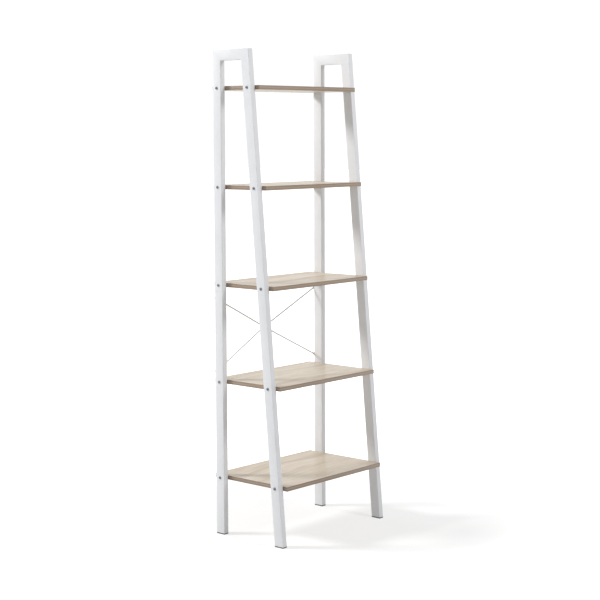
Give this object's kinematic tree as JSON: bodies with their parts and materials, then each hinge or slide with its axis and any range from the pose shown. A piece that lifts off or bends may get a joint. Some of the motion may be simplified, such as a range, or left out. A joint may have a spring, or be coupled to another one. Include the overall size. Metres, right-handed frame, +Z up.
{
  "type": "ladder shelf",
  "caption": "Freestanding ladder shelf: white steel A-shaped side frames, pale oak boards that get deeper towards the floor, and a thin X brace at the back.",
  "frame": {"origin": "on the floor, in the middle of the overall width and of the overall depth", "axes": "+Z up, +X to the right as seen from the front, -Y to the front, where the legs lean out"},
  "size_m": [0.5634, 0.3479, 1.72],
  "materials": {
    "white_frame": "white powder coat, satin",
    "oak_board": "pale oak decor, matt, with darker edge band",
    "dark_zinc": "dark zinc plating, satin",
    "plain_zinc": "bright zinc plating",
    "foot_plastic": "dark grey moulded plastic"
  },
  "bodies": {
    "root": {"shelf_bottom": "oak_board", "shelf_lower": "oak_board", "shelf_middle": "oak_board", "shelf_upper": "oak_board", "shelf_top": "oak_board", "left_top_bar": "white_frame", "left_rear_post": "white_frame", "left_rear_lower_leg": "white_frame", "left_rear_joint_insert": "plain_zinc", "left_rear_foot": "foot_plastic", "bolt_bottom_left_rear": "dark_zinc", "bolt_lower_left_rear": "dark_zinc", "bolt_middle_left_rear": "dark_zinc", "bolt_upper_left_rear": "dark_zinc", "bolt_top_left_rear": "dark_zinc", "left_front_post": "white_frame", "left_front_lower_leg": "white_frame", "left_front_joint_insert": "plain_zinc", "left_front_foot": "foot_plastic", "bolt_bottom_left_front": "dark_zinc", "bolt_lower_left_front": "dark_zinc", "bolt_middle_left_front": "dark_zinc", "bolt_upper_left_front": "dark_zinc", "bolt_top_left_front": "dark_zinc", "brace_rivet_nut_left_upper": "plain_zinc", "brace_screw_left_upper": "plain_zinc", "brace_rivet_nut_left_lower": "plain_zinc", "brace_screw_left_lower": "plain_zinc", "right_top_bar": "white_frame", "right_rear_post": "white_frame", "right_rear_lower_leg": "white_frame", "right_rear_joint_insert": "plain_zinc", "right_rear_foot": "foot_plastic", "bolt_bottom_right_rear": "dark_zinc", "bolt_lower_right_rear": "dark_zinc", "bolt_middle_right_rear": "dark_zinc", "bolt_upper_right_rear": "dark_zinc", "bolt_top_right_rear": "dark_zinc", "right_front_post": "white_frame", "right_front_lower_leg": "white_frame", "right_front_joint_insert": "plain_zinc", "right_front_foot": "foot_plastic", "bolt_bottom_right_front": "dark_zinc", "bolt_lower_right_front": "dark_zinc", "bolt_middle_right_front": "dark_zinc", "bolt_upper_right_front": "dark_zinc", "bolt_top_right_front": "dark_zinc", "brace_rivet_nut_right_upper": "plain_zinc", "brace_screw_right_upper": "plain_zinc", "brace_rivet_nut_right_lower": "plain_zinc", "brace_screw_right_lower": "plain_zinc", "brace_rod_falling": "white_frame", "brace_rod_rising": "white_frame"}
  },
  "joints": []
}
